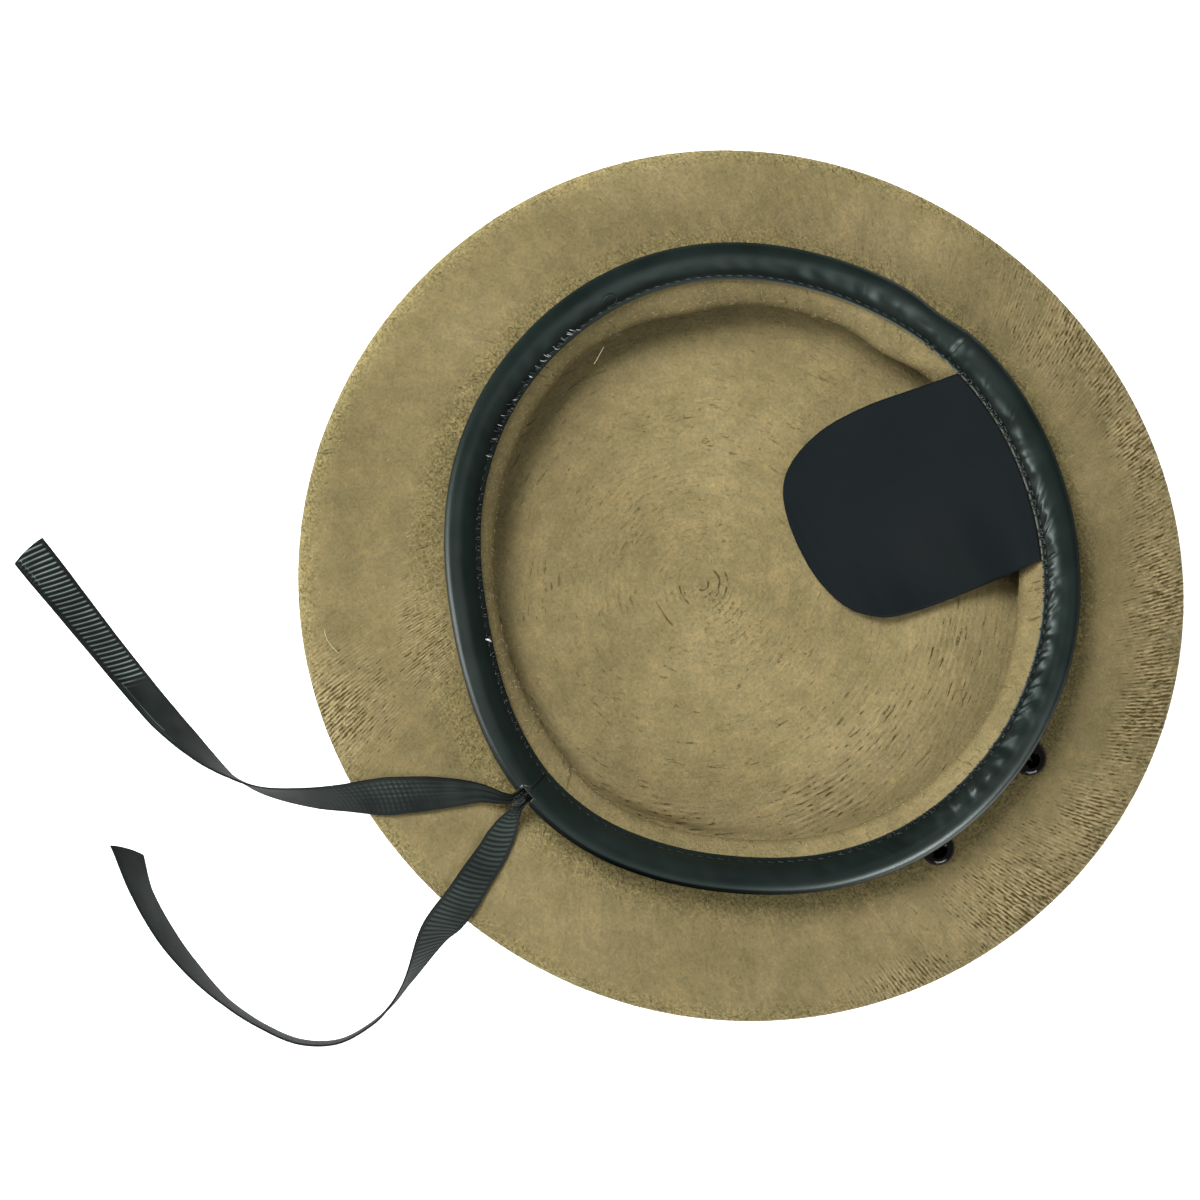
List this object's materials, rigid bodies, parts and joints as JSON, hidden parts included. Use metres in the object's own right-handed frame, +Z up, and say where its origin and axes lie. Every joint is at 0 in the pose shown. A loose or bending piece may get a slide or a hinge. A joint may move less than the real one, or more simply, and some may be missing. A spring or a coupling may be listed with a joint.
{
  "type": "military beret",
  "caption": "Round wool military beret lying on its crown, with a leather-bound head opening, badge stiffener, vent eyelets and ribbon ties.",
  "frame": {"origin": "on the table under the middle of the crown, at the bottom centre of the beret without its ties", "axes": "+Z up towards the head opening as the beret lies on its crown, +Y towards the wearer's forehead, +X towards the wearer's left ear"},
  "size_m": [0.3002, 0.3407, 0.0327],
  "materials": {
    "felt": "khaki knitted and fulled wool with a short pebbled nap",
    "binding_leather": "black smooth sheep leather with a soft sheen",
    "ribbon": "black grosgrain ribbon with cross ribs",
    "stiffener_board": "flat black coated board",
    "eyelet_enamel": "glossy black enamel"
  },
  "bodies": {
    "root": {"felt_body": "felt", "leather_binding": "binding_leather", "drawstring": "ribbon", "badge_stiffener": "stiffener_board", "eyelet_front": "eyelet_enamel", "eyelet_back": "eyelet_enamel", "tie_right": "ribbon", "tie_left": "ribbon"}
  },
  "joints": []
}
